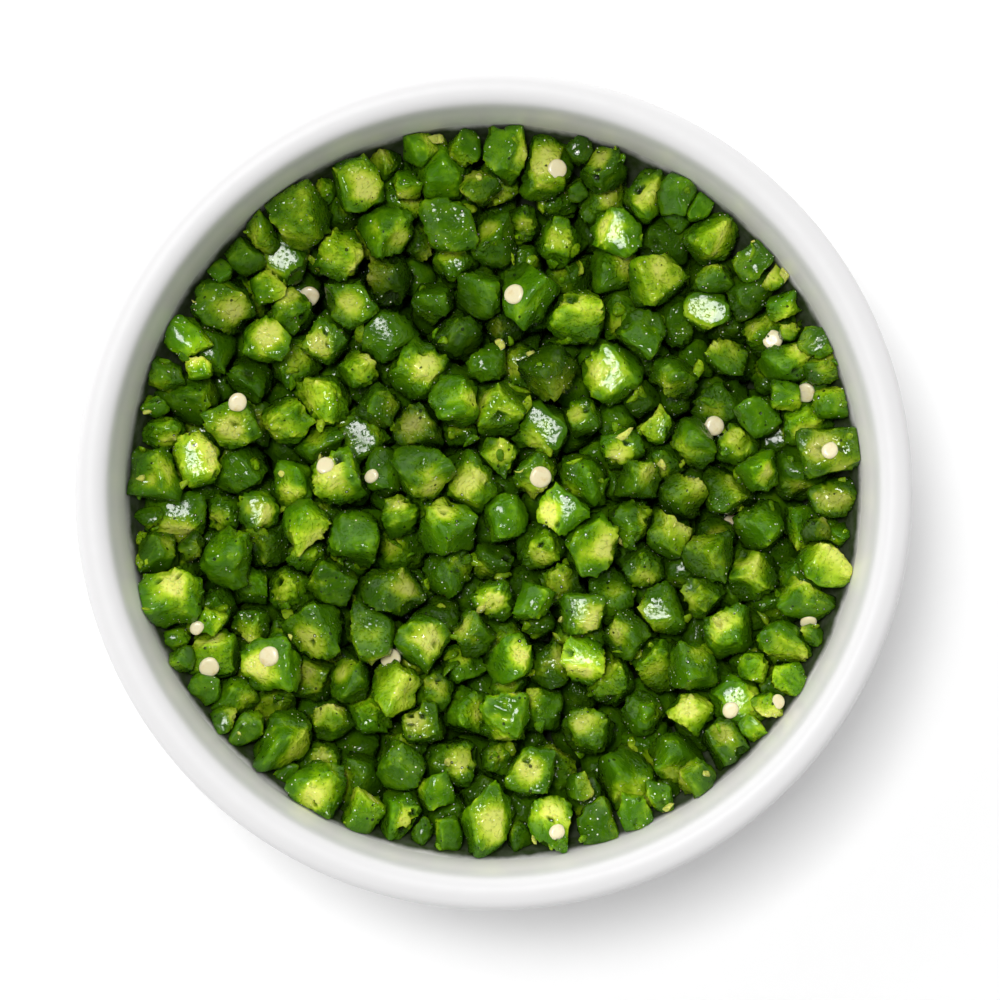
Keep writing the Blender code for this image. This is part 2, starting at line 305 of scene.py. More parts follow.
def porcelain():
    """Glaze with a faint orange peel, painted whiter low inside as painted light, dark green
    under the edge of the pepper as juice stain and painted shade, and a bare foot.
    """
    finish, tree, shader = shader_of("porcelain_glaze", metallic=0.0, ior=1.20)
    place = node(tree, "ShaderNodeTexCoord").outputs["Object"]
    parts = node(tree, "ShaderNodeSeparateXYZ", {0: place})
    height = parts.outputs["Z"]
    inner = node(tree, "ShaderNodeAttribute", attribute_name="inside").outputs["Fac"]
    # Juice stain and painted shade: the inner wall is painted dark green up to the edge of the
    # pepper.
    rise = noise(tree, place, STAIN_AND_SHADE_WAVES, detail=4.0, roughness=0.6)
    edge = scaled(tree, rise, STAIN_AND_SHADE_UNEVENNESS, JUICE_AND_SHADE_LEVEL - STAIN_AND_SHADE_UNEVENNESS / 2)
    wet = band(tree, maths(tree, "SUBTRACT", height, edge), STAIN_AND_SHADE_FADE, -STAIN_AND_SHADE_FADE)
    streaks = noise(tree, place, STREAK_WAVES, detail=3.0, roughness=0.6)
    patchy = scaled(tree, band(tree, streaks, *STREAK_BAND), STREAK_SHARE, 1 - STREAK_SHARE)
    share = scaled(tree, scaled(tree, wet, inner), patchy)
    # Painted light: the inner wall is painted whiter below the lip than the outside.
    inside_light = scaled(tree, inner, band(tree, height, *INSIDE_LIGHT_BAND))
    glaze = blended(tree, inside_light, GLAZE_WHITE, GLAZE_INSIDE_PAINTED_LIGHT)
    glazed = blended(tree, share, glaze, JUICE_AND_SHADE_TINT)
    bare = band(tree, height, *BARE_FOOT)
    tree.links.new(blended(tree, bare, glazed, BISQUE), shader.inputs["Base Color"])
    rough = scaled(tree, bare, BISQUE_ROUGHNESS - GLAZE_ROUGHNESS, GLAZE_ROUGHNESS)
    tree.links.new(rough, shader.inputs["Roughness"])
    peel = raised(tree, noise(tree, place, PEEL_WAVES, 2.0), PEEL_STRENGTH, PEEL_DEPTH)
    tree.links.new(peel, shader.inputs["Normal"])
    return finish


bowl = mesh_piece("porcelain_bowl", *turned(bowl_outline(), BOWL_SEGMENTS), porcelain())
inside_layer = bowl.data.attributes.new("inside", "FLOAT", "POINT")
inside_layer.data.foreach_set("value", inside_share(bowl_outline(), BOWL_SEGMENTS))
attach(bowl, "root")
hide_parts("bowl")

# The pepper is cut by hand into dice about as wide as its wall is thick, so each has
# knife cuts on most sides, dark skin on one or more, and a paler, wetter middle. They lie
# as they fell into the bowl, soft enough to press flat where they touch.
DRAW_NUMBER = 11
DETAIL_NUMBER = 29
DIE_SIZE = 0.0066
PACKING = 0.435
SIZE_SPREAD = (0.76, 1.20)
EDGE_RISE = 0.0036
RISE_POWER = 6
CHIP_SPREAD = (0.44, 0.80)
CHIP_NEAREST = 0.84
TRIES = 300
MISSES = 25
TOP_LAYER = 0.95 * DIE_SIZE


def inside_height_at(radius, inset=0.0):
    """Height of the bowl's inside at a radius: a superellipse, shrunk by the inset."""
    out = np.clip(radius / (INSIDE_RADIUS - inset), 0.0, 1.0)
    rise = (1 - out**INSIDE_ROUNDNESS) ** (1 / INSIDE_ROUNDNESS)
    return LIP_HEIGHT - (INSIDE_DEPTH - inset) * rise


def inside_radius_at(height, inset=0.0):
    """Radius of the bowl's inside at a height, with the same inset."""
    drop = np.clip((LIP_HEIGHT - height) / (INSIDE_DEPTH - inset), 0.0, 1.0)
    return (INSIDE_RADIUS - inset) * (1 - drop**INSIDE_ROUNDNESS) ** (1 / INSIDE_ROUNDNESS)


def drop_dice(draw, middles, sizes, size_spread, nearest):
    """Middles and sizes of the dice as they fall in, each taken as a ball.

    Of the places tried at random, a die takes the lowest one, where it rests on
    the bowl or on the dice that are there. Heights are read from a dish that
    rises towards the wall. The heap is full when die after die finds only places
    that would stand over the fill level. Nothing falls nearer to the middle than
    the given share of the radius.
    """
    radii = sizes * PACKING
    missed = 0
    while missed < MISSES:
        radius = PACKING * DIE_SIZE * draw.uniform(*size_spread)
        reach = (INSIDE_RADIUS - radius) * np.sqrt(draw.uniform(nearest**2, 1, TRIES))
        turn = draw.uniform(0, 2 * math.pi, TRIES)
        spots = np.stack([reach * np.cos(turn), reach * np.sin(turn)], 1)
        height = inside_height_at(reach, radius)
        if len(middles):
            apart = ((spots[:, None] - middles[None, :, :2]) ** 2).sum(2)
            lift = (radius + radii) ** 2 - apart
            over = np.where(lift > 0, middles[:, 2] + np.sqrt(np.maximum(lift, 0)), 0)
            height = np.maximum(height, over.max(1))
        stand = height - EDGE_RISE * (reach / INSIDE_RADIUS) ** RISE_POWER
        lowest = int(np.argmin(stand))
        if stand[lowest] + DIE_SIZE / 2 > FILL_LEVEL:
            missed += 1
            continue
        middles = np.vstack([middles, [*spots[lowest], height[lowest]]])
        radii = np.append(radii, radius)
    return middles, radii / PACKING


# How a die is cut, as shares of its size: leaning knife cuts, slanting ones at its corners,
# and flats where its neighbours press on it, a gap in metres apart.
CUT_LEAN = 0.13
CUT_DISTANCE = (0.40, 0.50)
CORNER_CUTS = 4
CORNER_SLANT = (0.15, 1.0)
CORNER_DISTANCE = (0.43, 0.62)
SHARPNESS = (6.0, 20.0)
NEIGHBOURS = 12
DIE_GAP = 0.00018


def unit(vectors):
    """The vectors, each scaled to a length of 1."""
    return vectors / np.linalg.norm(vectors, axis=-1, keepdims=True)


def random_turns(draw, count):
    """Rotation matrices drawn evenly over all turns, from unit quaternions."""
    w, x, y, z = unit(draw.normal(size=(count, 4))).T
    rows = [
        [1 - 2 * (y * y + z * z), 2 * (x * y - z * w), 2 * (x * z + y * w)],
        [2 * (x * y + z * w), 1 - 2 * (x * x + z * z), 2 * (y * z - x * w)],
        [2 * (x * z - y * w), 2 * (y * z + x * w), 1 - 2 * (x * x + y * y)],
    ]
    return np.moveaxis(np.array(rows), 2, 0)


def knife_cuts(draw, count):
    """The six leaning cuts that bound each die, as unit normals and distances in die sizes."""
    square = np.concatenate([np.eye(3), -np.eye(3)])
    normals = square + draw.normal(0, CUT_LEAN, (count, 6, 3))
    return unit(normals), draw.uniform(*CUT_DISTANCE, (count, 6))


def corner_cuts(draw, count):
    """A few slanting cuts that take off some of each die's corners and edges."""
    normals = draw.choice([-1.0, 1.0], (count, CORNER_CUTS, 3))
    normals *= draw.uniform(*CORNER_SLANT, normals.shape)
    return unit(normals), draw.uniform(*CORNER_DISTANCE, (count, CORNER_CUTS))


def pressed_flats(middles, sizes, turns):
    """Planes where each die is pressed by its neighbours, in its own axes and sizes.

    The line between two middles is split in the ratio of the two sizes.
    """
    apart = middles[None] - middles[:, None]
    far = np.linalg.norm(apart, axis=2)
    np.fill_diagonal(far, np.inf)
    near = np.argsort(far, axis=1)[:, :NEIGHBOURS]
    far = np.take_along_axis(far, near, 1)
    towards = np.take_along_axis(apart, near[..., None], 1) / far[..., None]
    split = far * sizes[:, None] / (sizes[:, None] + sizes[near]) - DIE_GAP
    return np.einsum("nji,nkj->nki", turns, towards), split / sizes[:, None]


def ball_grid(steps):
    """Unit directions and quads of a cube's faces, each with a grid of steps by steps."""
    line = np.linspace(-1, 1, steps + 1)
    across, up = np.meshgrid(line, line, indexing="ij")
    one = np.ones_like(across)
    sides = [
        (one, across, up), (-one, up, across), (up, one, across),
        (across, -one, up), (across, up, one), (up, across, -one),
    ]
    points = np.concatenate([np.stack(side, 2).reshape(-1, 3) for side in sides])
    keys = np.round(points * steps).astype(int)
    _, kept, merged = np.unique(keys, axis=0, return_index=True, return_inverse=True)
    corner = np.arange(steps)[:, None] * (steps + 1) + np.arange(steps)
    quad = np.stack([corner, corner + steps + 1, corner + steps + 2, corner + 1], 2).reshape(-1, 4)
    quads = np.concatenate([quad + side * (steps + 1) ** 2 for side in range(6)])
    points = points[kept]
    return unit(points), merged.reshape(-1)[quads]


def repeated(quads, count, size):
    """The quads of count like shapes, each of size points, one after the other."""
    return (np.arange(count)[:, None, None] * size + quads).reshape(-1, 4).tolist()


def cut_reach(directions, normals, distances, sharpness):
    """How far each die reaches in each direction, in die sizes.

    It is the power mean of the reach to every plane, (sum (d.n / distance)^p)^(-1/p),
    which gives flat cuts with edges that are sharper the larger p is. The second
    result is how near each point is to an edge: 0 on a flat, over a half on a corner.
    """
    facing = np.maximum(np.einsum("vk,npk->nvp", directions, normals), 1e-6)
    terms = (facing / distances[:, None, :]) ** sharpness[:, None, None]
    total = terms.sum(2)
    return total ** (-1 / sharpness[:, None]), 1 - terms.max(2) / total


# What is missing from a die: bites, wide scoops where it broke, the chambers that held its
# seeds, and what lies outside a flat face. The faces lean as wet ones do that mirror light.
BITES = 6
BITE_SHARE = 0.24
BITE_SIZES = (0.04, 0.13)
BITE_DISTANCE = (0.44, 0.60)
SCOOPS = 4
SCOOP_SHARE = 0.55
SCOOP_DISTANCE = (0.60, 0.82)
SCOOP_DEPTH = (0.03, 0.13)
CHAMBERS = 3
CHAMBER_SHARE = 0.22
CHAMBER_TURN = 0.25
CHAMBER_OUT = (0.12, 0.21)
CHAMBER_SIZES = (0.03, 0.07)
CHAMBER_UP = 0.44
NEAREST_HOLLOW = 0.05
FACE_SHARE = 0.11
FACE_LEAN = (-0.065, 0.070)
FACE_TURN_IN = 1.22
FACE_SPREAD = 0.03
FACE_DISTANCE = (0.35, 0.43)
OUT_OF_REACH = 9.0


def bites(draw, count):
    """Round bites out of some dice: their middles and radii, in die sizes."""
    towards = unit(draw.normal(size=(count, BITES, 3)))
    radii = draw.uniform(*BITE_SIZES, (count, BITES))
    radii *= draw.uniform(0, 1, (count, BITES)) < BITE_SHARE
    return towards * draw.uniform(*BITE_DISTANCE, (count, BITES, 1)), radii


def scoops(draw, count):
    """Wide shallow hollows where a die broke rather than was cut: their middles and radii."""
    towards = unit(draw.normal(size=(count, SCOOPS, 3)))
    distances = draw.uniform(*SCOOP_DISTANCE, (count, SCOOPS))
    radii = distances - CUT_DISTANCE[1] + draw.uniform(*SCOOP_DEPTH, (count, SCOOPS))
    radii *= draw.uniform(0, 1, (count, SCOOPS)) < SCOOP_SHARE
    return towards * distances[..., None], radii


def seed_chambers(draw, axes, is_slice):
    """Small holes round the core of a slice, in the end that its axis points at."""
    count = len(axes)
    side = np.roll(axes, 1, axis=1)
    other = np.cross(axes, side)
    turn = draw.uniform(0, 2 * math.pi, (count, 1)) + np.arange(CHAMBERS) * 2 * math.pi / CHAMBERS
    turn += draw.normal(0, CHAMBER_TURN, turn.shape)
    out = draw.uniform(*CHAMBER_OUT, turn.shape)[..., None]
    around = side[:, None] * np.cos(turn)[..., None] + other[:, None] * np.sin(turn)[..., None]
    radii = draw.uniform(*CHAMBER_SIZES, turn.shape)
    radii *= draw.uniform(0, 1, turn.shape) < CHAMBER_SHARE
    return axes[:, None] * CHAMBER_UP + around * out, radii * is_slice[:, None]


def level_faces(draw, middles, turns):
    """One cut on a few dice that lies so that it mirrors the light, as a plane in their axes."""
    count = len(middles)
    lean = np.array(FACE_LEAN) - FACE_TURN_IN * middles[:, :2]
    lean = lean + draw.normal(0, FACE_SPREAD, (count, 2))
    normals = unit(np.concatenate([lean, np.ones((count, 1))], 1))
    local = np.einsum("nji,nj->ni", turns, normals)
    has_one = draw.uniform(0, 1, count) < FACE_SHARE
    distance = np.where(has_one, draw.uniform(*FACE_DISTANCE, count), OUT_OF_REACH)
    return local[:, None], distance[:, None]


def hollow_reach(directions, middles, radii):
    """One over the distance at which each direction enters each round hole, or 0 if it misses.

    With c the hole's middle and d the direction, it enters at d.c - sqrt(r^2 - c.c + (d.c)^2).
    """
    along = np.einsum("vk,nbk->nvb", directions, middles)
    inside = (radii**2 - (middles**2).sum(2))[:, None] + along**2
    enters = along - np.sqrt(np.maximum(inside, 0))
    hit = (inside > 0) & (enters > NEAREST_HOLLOW)
    return np.where(hit, 1 / np.maximum(enters, NEAREST_HOLLOW), 0)


def ripples(draw, points, waves, fineness):
    """A smooth random bumpiness for each die: a sum of sines of random direction and phase."""
    count = len(points)
    direction = draw.normal(0, fineness, (count, waves, 3))
    phase = draw.uniform(0, 2 * math.pi, (count, 1, waves))
    angle = np.einsum("nvk,nwk->nvw", points, direction) + phase
    return np.sin(angle).sum(2) / math.sqrt(waves)


def smooth_step(value, low, high):
    """0 below low, 1 above high and 3t^2 - 2t^3 between."""
    t = np.clip((value - low) / (high - low), 0, 1)
    return t * t * (3 - 2 * t)


# How far a core lies off its die's middle, how pieces of wall bend, how far dice by the
# bowl's wall are drawn out and pressed flat against it, and how fine each layer's mesh is.
MIDDLE_SPREAD = 0.07
WALL_ARCH = (0.15, 0.65)
ARCH_LEVEL = 0.06
WALL_THICKNESS = 0.84
EDGE_STRETCH = 1.75
EDGE_PRESS = 0.0016
EDGE_REACH = 0.90
EDGE_GAP = 0.0001
TOP_GRID = 13
CHIP_GRID = 9
BELOW_GRID = 4


def wall_at(height):
    """Radius of the bowl's inner wall as it is drawn, flare and all."""
    share = np.clip((height - FLARE_FROM) / (FLARE_TO[1] - FLARE_FROM), 0, 1)
    return np.where(height > FLARE_FROM, flared(share), inside_radius_at(height))


def pressed_inside(points):
    """The points, with those that would reach into the bowl's wall pressed flat against it."""
    limit = wall_at(points[..., 2] - EDGE_GAP) - EDGE_GAP
    out = np.linalg.norm(points[..., :2], axis=-1)
    scale = np.minimum(1.0, limit / np.maximum(out, 1e-9))
    return np.concatenate([points[..., :2] * scale[..., None], points[..., 2:]], -1)


draw = np.random.default_rng(DRAW_NUMBER)
detail = np.random.default_rng(DETAIL_NUMBER)
middles, sizes = drop_dice(draw, np.zeros((0, 3)), np.zeros(0), SIZE_SPREAD, 0.0)
dice_count = len(middles)
turns = random_turns(draw, dice_count)
knife_normals, knife_distances = knife_cuts(draw, dice_count)
middles, sizes = drop_dice(detail, middles, sizes, CHIP_SPREAD, CHIP_NEAREST)
chip_count = len(middles) - dice_count
chip_normals, chip_distances = knife_cuts(detail, chip_count)
turns = np.concatenate([turns, random_turns(detail, chip_count)])
knife_normals = np.concatenate([knife_normals, chip_normals])
knife_distances = np.concatenate([knife_distances, chip_distances])
corner_normals, corner_distances = corner_cuts(detail, len(middles))
flat_normals, flat_distances = pressed_flats(middles, sizes, turns)
cut_normals = np.concatenate([knife_normals, corner_normals, flat_normals], 1)
cut_distances = np.concatenate([knife_distances, corner_distances, flat_distances], 1)
sharpness = detail.uniform(*SHARPNESS, len(middles))
tone = detail.normal(0, 1, len(middles))
kind_draw = detail.uniform(0, 1, len(middles))
axis_draw = detail.uniform(0, 1, len(middles))
arch = detail.uniform(*WALL_ARCH, len(middles))
offsets = detail.normal(0, MIDDLE_SPREAD, (len(middles), 3))
on_top = middles[:, 2] + sizes / 2 > FILL_LEVEL - TOP_LAYER
is_chip = np.arange(len(middles)) >= dice_count

# Kinds of die by what they were cut from, the share of each in the heap, and the share of
# each that lies with its axis up: a slice's core, or the side where a piece of wall has skin.
KIND_SHARES = {"ring": 0.31, "slice": 0.31, "wall": 0.17, "skin": 0.09, "rib": 0.12}
UPWARD_SHARES = {"ring": 0.92, "slice": 0.88, "wall": 0.15, "skin": 0.85, "rib": 0.60}
AXIS_PICK = 97
kind_names = list(KIND_SHARES)
kind_of = np.searchsorted(np.cumsum(list(KIND_SHARES.values()))[:-1], kind_draw)


def core_axes():
    """For each die, its own axis that its core or its skin lies along, turned upwards.

    It is the axis that points up most, or else one of the other two, as a later digit of
    the die's draw picks it.
    """
    best = np.abs(turns[:, 2, :]).argmax(1)
    other = (best + 1 + (axis_draw * AXIS_PICK).astype(int) % 2) % 3
    upward = np.array([UPWARD_SHARES[name] for name in kind_names])[kind_of]
    pick = np.where(axis_draw < upward, best, other)
    sign = np.sign(np.take_along_axis(turns[:, 2, :], pick[:, None], 1))
    return np.eye(3)[pick] * np.where(sign == 0, 1, sign)


axes_of = core_axes()
is_sliced = np.isin(np.array(kind_names)[kind_of], ["ring", "slice"])
bite_middles, bite_radii = bites(detail, len(middles))
chamber_middles, chamber_radii = seed_chambers(detail, axes_of, is_sliced)
hole_middles = np.concatenate([bite_middles, chamber_middles], 1)
hole_radii = np.concatenate([bite_radii, chamber_radii], 1)
face_normals, face_distances = level_faces(detail, middles, turns)
scoop_middles, scoop_radii = scoops(detail, len(middles))


# Where each kind of die turns from one flesh to the next, as shares of its size, and how
# deep its flesh is in the middle and how much deeper it gets.
UNEVENNESS = {"ring": 0.22, "slice": 0.22, "wall": 0.12, "skin": 0.08, "rib": 0.12}
CORE_TO_SKIN = (0.06, 0.52)
RING_SKIN = (0.38, 0.48)
WALL_DEPTH = (0.42, 1.1)
WALL_SKIN = (0.30, 0.40)
SKIN_DEPTH = (0.80, 0.5)
SKIN_LEAST = 0.45
SKIN_SKIN = (0.0, 0.25)
RIB_DEPTH = (0.16, 0.5)
RIB_FLESH = (0.2, 0.5)


def flesh_of(kind, local, axes, lumps):
    """How near each point is to the pale core (0) or the skin (1), and how much of it is skin.

    A ring or slice turns to skin away from its axis, a piece of wall or of skin along its
    axis, and a rib is pale, and a little greener away from its axis.
    """
    along = np.einsum("nvk,nk->nv", local, axes)
    across = np.linalg.norm(local - along[..., None] * axes[:, None], axis=2)
    uneven = UNEVENNESS[kind] * lumps
    if kind in ("ring", "slice"):
        depth = smooth_step(across * (1 + uneven), *CORE_TO_SKIN)
        return depth, smooth_step(across, *RING_SKIN)
    if kind == "wall":
        depth = np.clip(WALL_DEPTH[0] + WALL_DEPTH[1] * along + uneven, 0, 1)
        return depth, smooth_step(along, *WALL_SKIN)
    if kind == "skin":
        depth = np.clip(SKIN_DEPTH[0] + SKIN_DEPTH[1] * along + uneven, SKIN_LEAST, 1)
        return depth, smooth_step(along, *SKIN_SKIN)
    depth = RIB_DEPTH[0] + RIB_DEPTH[1] * smooth_step(across, *RIB_FLESH) + uneven
    return np.clip(depth, 0, 1), np.zeros_like(depth)


# The bumps on a die and its shade, with painted shade in its hollows, on its flanks and low
# in the heap, and painted light on its cut edges. Each band is where a smooth step runs from 0
# to 1, and LUMPS and GRAIN give the number of waves in a bumpiness and how fine they are.
FACE_BAND = (0.93, 0.99)
FACE_GREEN = 0.50
FACE_GLOSS = (0.92, 0.08)
SKIN_GLOSS = 0.8
HOLLOW_BAND = (0.01, 0.09)
# Hollows are painted greener, and darker by HOLLOW_SHADE below: painted shade.
HOLLOW_GREEN = 0.5
LUMPS = (5, 7.0)
LUMP_HEIGHT = 0.056
GRAIN = (9, 24.0)
GRAIN_HEIGHT = 0.020
SKIN_SMOOTHNESS = 0.75
RAGGED_HEIGHT = 0.065
RAGGED_BAND = (0.10, 0.50)
# Cut edges are painted paler: painted light, as if shining through the thin flesh.
EDGE_BAND = (0.12, 0.55)
EDGE_LIGHTNESS = 0.14
EDGE_UNEVENNESS = 0.5
SHADE = 0.54
SHADE_SPREAD = 0.11
# A die's flanks below its top and dice sunk low in the heap are painted greener and darker:
# painted shade.
FLANK_FROM = (0.12, 0.60)
FLANK_GREEN = 0.42
FLANK_DARKENING = 0.36
DARK_FROM = (0.25, 1.0)
DARKENING = 0.36
SUNK_GREEN = 0.50
# How much darker each kind is painted in its hollows: painted shade.
HOLLOW_SHADE = {"ring": 0.85, "slice": 0.80, "wall": 0.40, "skin": 0.35, "rib": 0.30}


def arched(local, axes, amount):
    """A piece of wall, thinned along its axis and bent: moved back by amount * across^2."""
    along = np.einsum("nvk,nk->nv", local, axes)
    across = np.einsum("nvk,nk->nv", local, np.roll(axes, 1, axis=1))
    shift = (WALL_THICKNESS - 1) * along - amount[:, None] * (across**2 - ARCH_LEVEL)
    return local + shift[..., None] * axes[:, None]


def paint(piece, depth, smooth, shade):
    """Stores each point's depth in the flesh, smoothness and shade in the attribute 'cut'.
    On the dice, the depth and shade also hold painted shade and painted light.
    """
    values = np.stack([depth, smooth, shade, np.ones_like(depth)], -1)
    layer = piece.data.attributes.new("cut", "FLOAT_COLOR", "POINT")
    layer.data.foreach_set("color", values.astype(np.float32).ravel())


def stretched_to_wall(points, chosen):
    """Dice beside the wall, with the side that faces it drawn out until it would pass it."""
    out = np.linalg.norm(points[..., :2], axis=-1)
    middle = np.linalg.norm(middles[chosen, :2], axis=1)[:, None]
    wall = wall_at(points[..., 2])
    beside = middle + EDGE_REACH * sizes[chosen][:, None] > wall
    draw_out = (wall + EDGE_PRESS - middle) / (out.max(1, keepdims=True) - middle)
    draw_out = np.clip(draw_out, 1.0, EDGE_STRETCH)
    further = np.where(beside & (out > middle), middle + (out - middle) * draw_out, out)
    return np.concatenate([points[..., :2] * (further / out)[..., None], points[..., 2:]], -1)


def dice_piece(name, kind, chosen, steps, finish):
    """One mesh of all the chosen dice, painted by how deep in the flesh each point lies, with
    painted shade in hollows, on flanks and low in the heap, and painted light on cut edges.

    The reaches to the cuts, the level face, the scoops and the holes are joined by a power
    mean, so that the nearest counts.
    """
    directions, quads = ball_grid(steps)
    holes = hollow_reach(directions, hole_middles[chosen], hole_radii[chosen])
    sharp = sharpness[chosen]
    whole, edge = cut_reach(directions, cut_normals[chosen], cut_distances[chosen], sharp)
    faced, _ = cut_reach(directions, face_normals[chosen], face_distances[chosen], sharp)
    power = sharp[:, None]
    scooped = hollow_reach(directions, scoop_middles[chosen], scoop_radii[chosen])
    scooped = (scooped ** power[..., None]).sum(2)
    scooped = (whole**-power + faced**-power + scooped) ** (-1 / power)
    bitten = (scooped**-power + (holes ** power[..., None]).sum(2)) ** (-1 / power)
    level = smooth_step(bitten / faced, *FACE_BAND)
    hollow = smooth_step(scooped - bitten, *HOLLOW_BAND) * (1 - level)
    local = directions * bitten[..., None]
    lumps = ripples(detail, local, *LUMPS)
    grain = ripples(detail, local, *GRAIN)
    axes = axes_of[chosen]
    depth, skin = flesh_of(kind, local - offsets[chosen][:, None], axes, lumps)
    # Painted light: cut edges are painted paler.
    lighter = EDGE_LIGHTNESS * smooth_step(edge, *EDGE_BAND) * (1 + EDGE_UNEVENNESS * grain)
    # Painted shade: hollows are painted greener.
    depth = depth - lighter + HOLLOW_GREEN * hollow
    depth = np.maximum(np.clip(depth, 0, 1), FACE_GREEN * level)
    ragged = RAGGED_HEIGHT * grain * smooth_step(edge, *RAGGED_BAND)
    rough = ragged + GRAIN_HEIGHT * grain * (1 - SKIN_SMOOTHNESS * skin)
    swell = 1 + (LUMP_HEIGHT * lumps + rough) * (1 - level)
    local = local * swell[..., None]
    if kind in ("wall", "skin"):
        local = arched(local, axes, arch[chosen])
    points = np.einsum("nij,nvj->nvi", turns[chosen], local) * sizes[chosen][:, None, None]
    points = pressed_inside(stretched_to_wall(points + middles[chosen][:, None], chosen))
    faces = repeated(quads, len(chosen), len(directions))
    piece = mesh_piece(name, points, faces, finish)
    # Painted shade: points are painted greener and darker the lower they lie in the heap and the
    # further below their die's top, and darker in hollows.
    reach = np.linalg.norm(points[..., :2], axis=-1) / INSIDE_RADIUS
    below = FILL_LEVEL + EDGE_RISE * reach**RISE_POWER - points[..., 2]
    sunk = smooth_step(below / DIE_SIZE, *DARK_FROM)
    fallen = points[..., 2].max(1, keepdims=True) - points[..., 2]
    flank = smooth_step(fallen / sizes[chosen][:, None], *FLANK_FROM)
    depth = np.clip(depth + SUNK_GREEN * sunk + FLANK_GREEN * flank, 0, 1)
    shade = (tone[chosen][:, None] * SHADE_SPREAD + SHADE) * (1 - HOLLOW_SHADE[kind] * hollow)
    shade = shade * (1 - DARKENING * sunk) * (1 - FLANK_DARKENING * flank)
    gloss = FACE_GLOSS[0] + FACE_GLOSS[1] * axis_draw[chosen]
    smooth = np.maximum(SKIN_GLOSS * skin, level * gloss[:, None])
    paint(piece, depth, smooth, shade)
    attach(piece, "root")
    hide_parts("diced_pepper")
    return points, faces


# The pepper's colours from its core out to its skin, and the waves a metre, bands and
# strengths of the marks and of the wetness on it.
CORE = (0.72, 0.76, 0.17)
INNER = (0.52, 0.66, 0.030)
MIDDLE = (0.25, 0.44, 0.003)
OUTER = (0.098, 0.255, 0.001)
SKIN = (0.042, 0.140, 0.001)
FLESH_STOPS = ((0.0, CORE), (0.26, INNER), (0.5, MIDDLE), (0.76, OUTER), (1.0, SKIN))
SPECK = (0.010, 0.022, 0.004)
GLINT = (0.95, 1.00, 0.80)
DROP_WAVES = 2400.0
DROP_BAND = (0.56, 0.75)
DROP_HEIGHT = 1.3
FILM_WAVES = 900.0
FILM_HEIGHT = 0.9
PATCH_WAVES = 330.0
PATCH_BAND = (0.38, 0.62)
PATCH_LEAST = 0.2
WET_DEPTH = 0.00013
MOTTLE_WAVES = 480.0
MOTTLE = (0.8, -0.46)
FLECK_WAVES = 1150.0
FLECKS = (0.25, -0.13)
FIBRE_WAVES = 1500.0
FIBRES = (0.16, 0.92)
DOT_CELLS = 1450.0
SPECK_FROM = 0.93
SPECK_SIZES = (0.23, 0.15)
SPECK_SHARE = 0.85
CLUSTER_WAVES = 300.0
CLUSTER_BAND = (0.46, 0.62)
GLINT_FROM = 0.15
GLINT_SIZES = (0.12, 0.06)
GLINT_SHARE = 0.9
WET_ROUGHNESS = 0.08
SKIN_ROUGHNESS = 0.13
SKIN_FILM = 0.12
SKIN_DROPLETS = 0.10


def wet_surface():
    """Node group: droplets and a rough film of juice, as a normal, finer where it is cut."""
    numbers = {"Cut": 1.0, "Droplets": 1.0}
    group, start, end = node_group("wet_surface", numbers, "Normal", "NodeSocketVector")
    place, cut = start.outputs["Place"], start.outputs["Cut"]
    cells = noise(group, place, DROP_WAVES, 0.0)
    waves = noise(group, place, FILM_WAVES, 0.0)
    patches = band(group, noise(group, place, PATCH_WAVES, 0.0), *PATCH_BAND)
    patches = scaled(group, patches, 1 - PATCH_LEAST, PATCH_LEAST)
    rough = scaled(group, cells, patches)
    film = scaled(group, waves, FILM_HEIGHT, rough)
    film = scaled(group, film, cut)
    drops = scaled(group, band(group, cells, *DROP_BAND), start.outputs["Droplets"])
    height = scaled(group, drops, DROP_HEIGHT, film)
    group.links.new(raised(group, height, 1.0, WET_DEPTH), end.inputs["Normal"])
    return group


